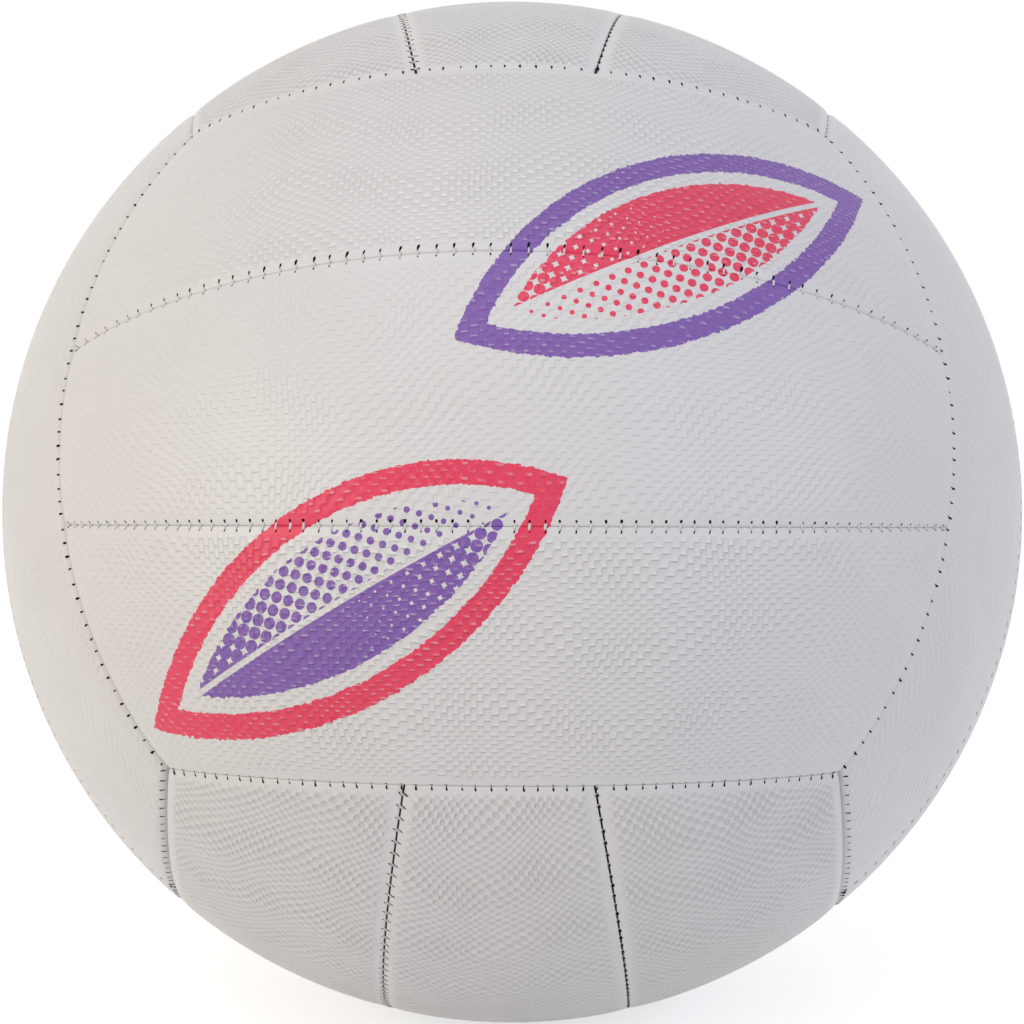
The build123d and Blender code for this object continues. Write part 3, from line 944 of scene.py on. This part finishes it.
rng = np.random.default_rng(seed=18)
seam_angle = acos(seam_miss)
corner = np.ones(1)
_, (seam_half_turn,) = strip_points(corner, corner, outer=False, seam_gap=0.0, end_gap=0.0, edge_gap=0.0)
for face, (_, _, _, ends) in faces.items():
    axes = face_axes(face)
    pulled = face in main_faces
    *end_rolls, _, strip_roll = face_rolls[face]
    parts = []
    for side in (1, -1):
        pitch, loop, (first, second) = (pulled_seams if pulled else gaping_seams)[side]
        turns, places = stitch_turns(seam_half_turn, ball_radius * sin(seam_angle), pitch, rng)
        size = 1 - end_shrink * pulled * share_past(places, shrink_from)
        if (face, side) == closing_seam:
            empty = np.argmin(np.abs(places))
            size[empty + 1] = closing_size
            turns, places, size = (np.delete(row, empty) for row in (turns, places, size))
        lean = -lean_most * pulled * np.sign(places) * share_past(places, lean_from)
        axis = np.array([0, side * cos(seam_lean), -sin(seam_lean)]) @ axes
        middle = np.array([0, side * sin(seam_lean), cos(seam_lean)]) @ axes
        frames = seam_frames(axis, middle, turns, seam_angle)
        holes = [(*first[:2], side * first[2], first[3]), (*second[:2], -side * second[2], second[3])]
        parts += stitch_run(frames, lean, size, loop, holes, (strip_roll, strip_roll), rng)
    sew(f"{face}_strip_stitches", parts, f"{face}_inner_threads")
    pitch = top_edge_pitch if face == "top" else edge_pitch
    for side, end, own_roll, (loop, holes) in zip((1, -1), ends, end_rolls, edge_sewing[face]):
        turns, _ = stitch_turns(corner_turn, ball_radius * sin(cone_angle), pitch, rng)
        axis = np.array([-side * sin(cone_lean), 0, cos(cone_lean)]) @ axes
        middle = np.array([side * cos(cone_lean), 0, sin(cone_lean)]) @ axes
        frames = seam_frames(axis, middle, turns, cone_angle)
        holes = [(*hole[:3], side * hole[3]) for hole in holes]
        _, _, neighbour_roll, _ = face_rolls[end]
        rolls = (own_roll, neighbour_roll)
        parts = stitch_run(frames, 0 * turns, np.ones(len(turns)), loop, holes, rolls, rng)
        sew(f"{face}_{end}_edge_stitches", parts, f"{face}_{end}_edge_thread")

# Studio: a plain white paper floor under the ball, in white surroundings. Both look white to the camera
# where no shadow falls, while the ball is lit by softer light from them and by three softboxes.
floor_size = 60.0
floor_white = (0.86, 0.86, 0.86, 1.0)
floor_speck = (0.84, 0.84, 0.84, 1.0)
specks_per_metre = 30.0
floor_glow = 0.6
pure_white = (1.0, 1.0, 1.0, 1.0)
dome_tint = (1.0, 0.93, 0.92, 1.0)
dome_level = 0.5


def seen(tree):
    """1 where the camera sees a surface, straight or in a mirror or glass; 0 where it only gives light."""
    rays = add_node(tree, "ShaderNodeLightPath").outputs
    bent = calc(tree, "MAXIMUM", rays["Is Glossy Ray"], rays["Is Transmission Ray"])
    return calc(tree, "MAXIMUM", rays["Is Camera Ray"], bent)


mesh = bpy.data.meshes.new("floor")
half = floor_size / 2
corners = [(x * half, y * half, -ball_radius) for x, y in ((-1, -1), (1, -1), (1, 1), (-1, 1))]
mesh.from_pydata(corners, [], [(0, 1, 2, 3)])
floor = bpy.data.objects.new("floor", mesh)
bpy.context.scene.collection.objects.link(floor)
paper = bpy.data.materials.new("floor_paper")
paper.use_nodes = True
tree = paper.node_tree
tree.nodes.clear()
speck = noise(tree, object_place(tree), specks_per_metre, detail=3.0)
paper_colour = mix_colour(tree, speck, floor_white, floor_speck)
plain = add_node(tree, "ShaderNodeBsdfDiffuse", {"Color": paper_colour})
glow_level = calc(tree, "MULTIPLY", seen(tree), floor_glow)
glow = add_node(tree, "ShaderNodeEmission", {"Color": pure_white, "Strength": glow_level})
both = add_node(tree, "ShaderNodeAddShader", {0: plain.outputs[0], 1: glow.outputs[0]})
add_node(tree, "ShaderNodeOutputMaterial", {"Surface": both.outputs[0]})
mesh.materials.append(paper)

world = bpy.data.worlds.new("studio")
bpy.context.scene.world = world
world.use_nodes = True
tree = world.node_tree
tree.nodes.clear()
to_camera = seen(tree)
tint = mix_colour(tree, to_camera, dome_tint, pure_white)
level = calc(tree, "MULTIPLY_ADD", to_camera, 1.0 - dome_level, dome_level)
sky = add_node(tree, "ShaderNodeBackground", {"Color": tint, "Strength": level})
add_node(tree, "ShaderNodeOutputWorld", {"Surface": sky.outputs[0]})


def softbox(name, place, size, watts, tint):
    """A square softbox at a place, aimed at the ball's centre."""
    lamp = bpy.data.lights.new(name, "AREA")
    lamp.size = size
    lamp.energy = watts
    lamp.color = tint
    box = bpy.data.objects.new(name, lamp)
    bpy.context.scene.collection.objects.link(box)
    box.location = place
    box.rotation_euler = (-Vector(place)).to_track_quat("-Z", "Y").to_euler()


softbox("top_softbox", place=(-0.1, -0.5, 1.3), size=1.0, watts=4.0, tint=(0.8, 0.87, 1.0))
softbox("left_softbox", place=(-1.2, -0.9, 0.4), size=0.9, watts=7.3, tint=(1.0, 0.92, 0.71))
softbox("right_softbox", place=(1.2, -0.9, 0.55), size=0.9, watts=5.1, tint=(0.56, 0.7, 1.0))

# Camera: in front of the ball and a little above its middle, so close that the ball fills the frame
camera_turn = radians(1.26)
camera_height = radians(8.08)
camera_distance = 4.708 * ball_radius
level_part = cos(camera_height)
eye = Vector((sin(camera_turn) * level_part, -cos(camera_turn) * level_part, sin(camera_height)))
camera = bpy.data.objects.new("camera", bpy.data.cameras.new("camera"))
camera.data.sensor_width = 36.0
camera.data.lens = 82.56
camera.data.clip_start = 0.01
camera.location = eye * camera_distance
camera.rotation_euler = (-eye).to_track_quat("-Z", "Y").to_euler()
bpy.context.scene.collection.objects.link(camera)
bpy.context.scene.camera = camera
bpy.context.scene.view_settings.view_transform = "Standard"
